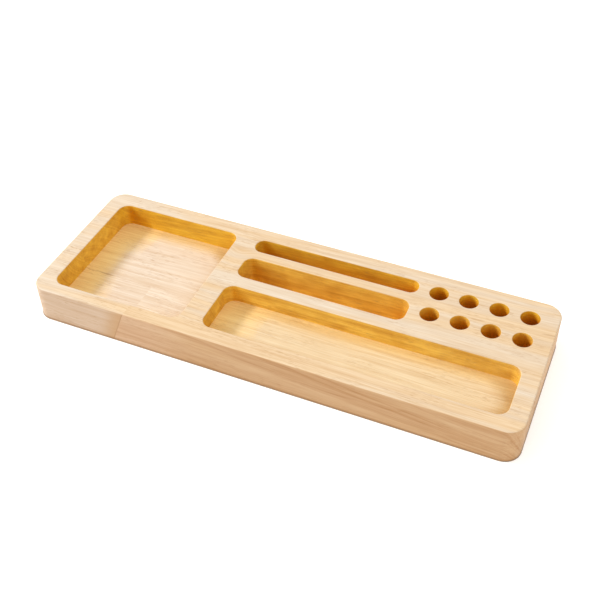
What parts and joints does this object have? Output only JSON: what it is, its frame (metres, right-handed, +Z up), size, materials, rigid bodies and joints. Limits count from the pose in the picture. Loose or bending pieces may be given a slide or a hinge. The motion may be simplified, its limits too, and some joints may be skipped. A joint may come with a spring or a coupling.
{
  "type": "desk organiser tray",
  "caption": "Solid-wood desk organiser tray with a wide bay, phone and card slots, a long shallow tray and rows of upright pen holes.",
  "frame": {"origin": "centre of the underside, on the surface it rests on", "axes": "+X along the board from the wide bay to the pen holes, +Y from the front edge to the back edge, +Z up"},
  "size_m": [0.3, 0.1024, 0.0238],
  "materials": {
    "rubberwood": "sanded and clear oiled, satin"
  },
  "bodies": {
    "root": {"front_stave_left": "rubberwood", "front_stave_right": "rubberwood", "back_stave": "rubberwood"}
  },
  "joints": []
}
